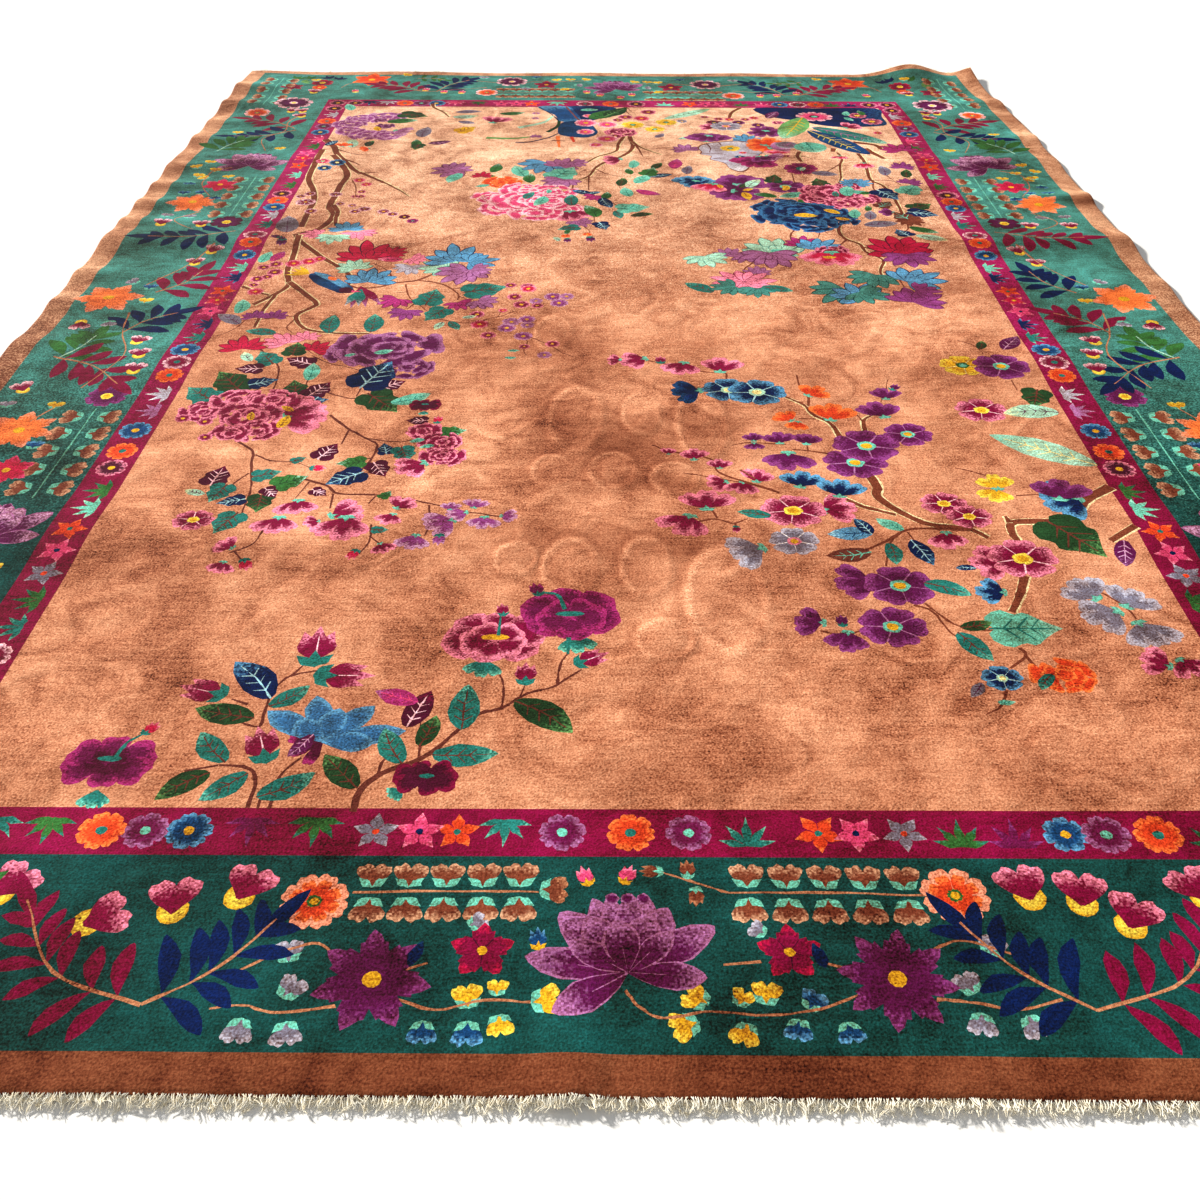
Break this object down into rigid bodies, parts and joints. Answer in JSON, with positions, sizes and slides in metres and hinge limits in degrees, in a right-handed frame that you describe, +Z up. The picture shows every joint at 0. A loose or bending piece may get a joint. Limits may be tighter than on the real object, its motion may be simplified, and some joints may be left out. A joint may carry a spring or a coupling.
{
  "type": "hand-knotted floor rug",
  "caption": "Large rectangular knotted wool rug lying on a floor, slightly rippled, with a short warp fringe at each end.",
  "frame": {"origin": "on the floor, under the middle of the whole rug's box", "axes": "+Y along the rug's length towards its far end, +X towards its right side, +Z up out of the pile"},
  "size_m": [3.068, 4.691, 0.0488],
  "materials": {
    "wool_pile": "dyed wool pile, matte",
    "warp_fringe": "undyed cotton yarn, matte"
  },
  "bodies": {
    "root": {"pile_rug": "wool_pile", "fringe_near": "warp_fringe", "fringe_far": "warp_fringe"}
  },
  "joints": []
}
